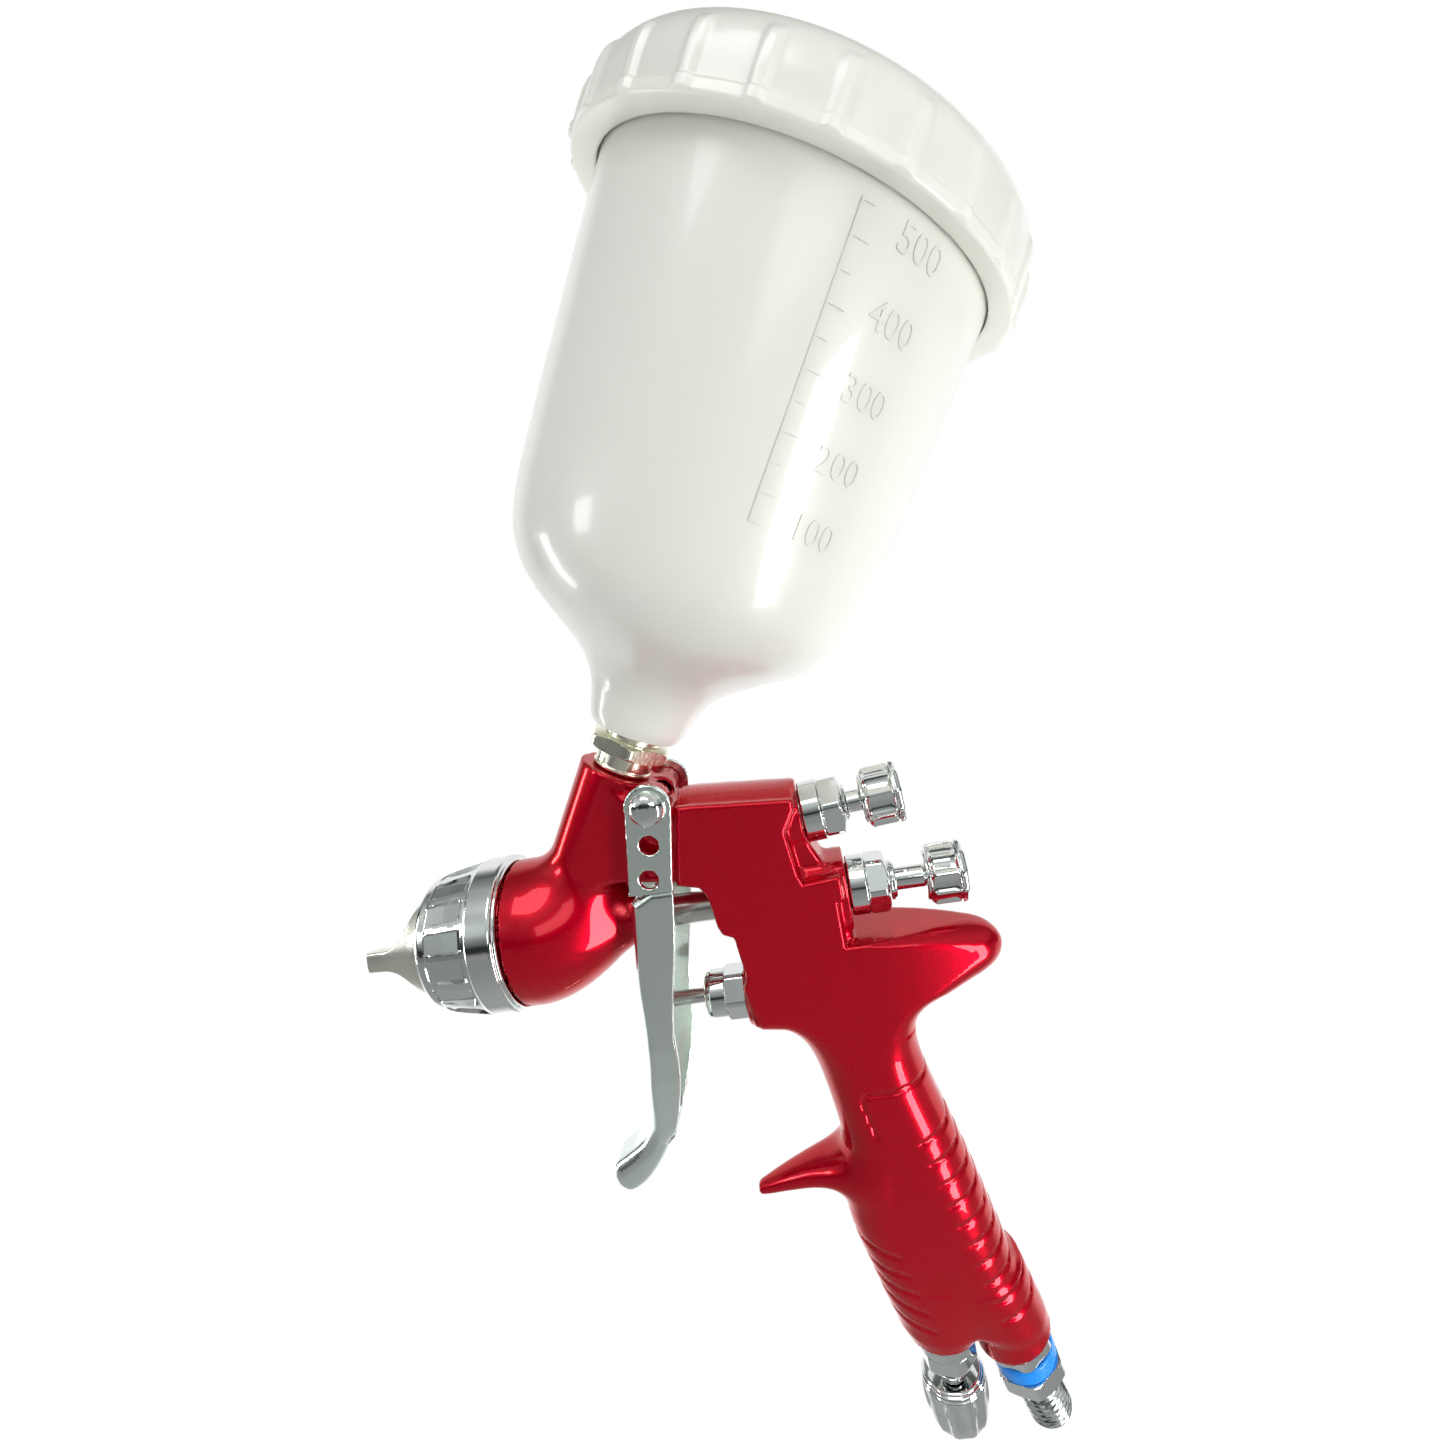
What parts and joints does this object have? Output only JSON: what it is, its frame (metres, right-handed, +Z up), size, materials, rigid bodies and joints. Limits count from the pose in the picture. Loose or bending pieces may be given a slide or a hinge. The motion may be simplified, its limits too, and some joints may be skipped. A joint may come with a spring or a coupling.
{
  "type": "gravity-feed spray gun",
  "caption": "Gravity-feed air spray gun with a cast body, long two-leg trigger, tilted plastic cup with screw lid, air cap and screw controls.",
  "frame": {"origin": "middle of the hand grip, on the plane of symmetry", "axes": "+Z up along the body, -X the way the nozzle points, +Y to the left of a person holding it"},
  "size_m": [0.1904, 0.1038, 0.3644],
  "materials": {
    "red_paint": "gloss candy red over cast aluminium",
    "chrome": "polished",
    "nickel": "satin nickel plate",
    "steel": "turned",
    "brass": "turned",
    "cup_plastic": "translucent white, gloss",
    "seal_white": "smooth",
    "blue_plastic": "gloss",
    "rubber_black": "matte"
  },
  "bodies": {
    "gun": {"gun_body": "red_paint", "fluid_tip": "nickel", "baffle_plate": "brass", "head_gasket": "seal_white", "needle_packing": "seal_white", "packing_spring_washer": "steel", "packing_nut": "brass", "needle_spring": "steel", "fluid_valve_bushing": "chrome", "pattern_valve_bushing": "chrome", "air_valve_nut": "chrome", "air_valve_seal": "seal_white", "air_valve_spring": "steel", "trigger_stud": "chrome", "trigger_screw": "chrome", "flow_valve_bushing": "chrome", "air_inlet_nipple": "chrome", "inlet_colour_ring": "blue_plastic"},
    "trigger_lever": {"trigger": "chrome"},
    "needle": {"fluid_needle": "steel"},
    "air_valve": {"air_valve_stem": "steel"},
    "fluid_stop": {"needle_spring_pad": "brass"},
    "fluid_screw": {"fluid_knob": "chrome"},
    "pattern_carrier": {"pattern_valve_o_ring": "rubber_black"},
    "pattern_screw": {"pattern_knob": "chrome"},
    "flow_carrier": {"flow_valve_o_ring": "rubber_black"},
    "flow_screw": {"flow_valve_knob": "chrome"},
    "ring_carrier": {"cap_slip_ring": "rubber_black"},
    "ring": {"retaining_ring": "chrome"},
    "cap": {"air_cap": "nickel"},
    "cup_carrier": {"cup_seal_washer": "rubber_black"},
    "cup": {"cup_fitting": "nickel", "cup_body": "cup_plastic", "cup_clamp_nut": "nickel", "paint_strainer": "seal_white"},
    "lid_carrier": {"lid_gasket": "rubber_black"},
    "lid": {"cup_lid": "cup_plastic", "drip_check_plug": "cup_plastic"}
  },
  "joints": [
    {"name": "trigger_pull", "type": "hinge", "parent": "gun", "child": "trigger_lever", "pos_m": [-0.05365, 0, 0.1322], "axis": [0, -1, 0], "range_deg": [0, 11], "stiffness_Nm_per_rad": 6, "springref_deg": -20.05},
    {"name": "needle_slide", "type": "slide", "parent": "gun", "child": "needle", "axis": [1, 0, 0], "range_m": [0, 0.0076], "deforming": ["needle_spring"]},
    {"name": "air_valve_slide", "type": "slide", "parent": "gun", "child": "air_valve", "axis": [1, 0, 0], "range_m": [0, 0.0122], "deforming": ["air_valve_spring"]},
    {"name": "fluid_knob_feed", "type": "slide", "parent": "gun", "child": "fluid_stop", "axis": [1, 0, 0], "range_m": [-0.004, 0.002]},
    {"name": "fluid_knob_turn", "type": "hinge", "parent": "fluid_stop", "child": "fluid_screw", "pos_m": [-0.003, 0, 0.099], "axis": [1, 0, 0], "range_deg": [-1441, 721]},
    {"name": "pattern_knob_feed", "type": "slide", "parent": "gun", "child": "pattern_carrier", "axis": [0.9974, 0, 0.0715], "range_m": [-0.0025, 0.002]},
    {"name": "pattern_knob_turn", "type": "hinge", "parent": "pattern_carrier", "child": "pattern_screw", "pos_m": [-0.0174, 0, 0.1208], "axis": [0.9974, 0, 0.0715], "range_deg": [-901, 721]},
    {"name": "flow_knob_feed", "type": "slide", "parent": "gun", "child": "flow_carrier", "axis": [0.0349, 0, -0.9994], "range_m": [-0.002, 0.003]},
    {"name": "flow_knob_turn", "type": "hinge", "parent": "flow_carrier", "child": "flow_screw", "pos_m": [-0.0015, 0, -0.0409], "axis": [0.0349, 0, -0.9994], "range_deg": [-721, 1081]},
    {"name": "ring_feed", "type": "slide", "parent": "gun", "child": "ring_carrier", "axis": [-1, 0, 0], "range_m": [0, 0.003]},
    {"name": "ring_turn", "type": "hinge", "parent": "ring_carrier", "child": "ring", "pos_m": [-0.103, 0, 0.099], "axis": [-1, 0, 0], "range_deg": [0, 720]},
    {"name": "air_cap_turn", "type": "hinge", "parent": "gun", "child": "cap", "pos_m": [-0.113, 0, 0.099], "axis": [1, 0, 0], "range_deg": [-90, 90]},
    {"name": "cup_feed", "type": "slide", "parent": "gun", "child": "cup_carrier", "axis": [0.503, 0, 0.8643], "range_m": [0, 0.003]},
    {"name": "cup_turn", "type": "hinge", "parent": "cup_carrier", "child": "cup", "pos_m": [-0.06203, 0, 0.14022], "axis": [0.503, 0, 0.8643], "range_deg": [0, 720]},
    {"name": "lid_feed", "type": "slide", "parent": "cup", "child": "lid_carrier", "axis": [0.503, 0, 0.8643], "range_m": [0, 0.00625]},
    {"name": "lid_turn", "type": "hinge", "parent": "lid_carrier", "child": "lid", "pos_m": [-0.06203, 0, 0.14022], "axis": [0.503, 0, 0.8643], "range_deg": [0, 450]}
  ],
  "couplings": [
    {"joint": "needle_slide", "follows": "trigger_pull", "m_per_rad": 0.0385},
    {"joint": "air_valve_slide", "follows": "trigger_pull", "m_per_rad": 0.0622},
    {"joint": "fluid_knob_turn", "follows": "fluid_knob_feed", "rad_per_m": 6283.2},
    {"joint": "pattern_knob_turn", "follows": "pattern_knob_feed", "rad_per_m": 6283.2},
    {"joint": "flow_knob_turn", "follows": "flow_knob_feed", "rad_per_m": 6283.2},
    {"joint": "ring_feed", "follows": "ring_turn", "m_per_rad": 0.00023873},
    {"joint": "cup_feed", "follows": "cup_turn", "m_per_rad": 0.00023873},
    {"joint": "lid_feed", "follows": "lid_turn", "m_per_rad": 0.00079577}
  ]
}
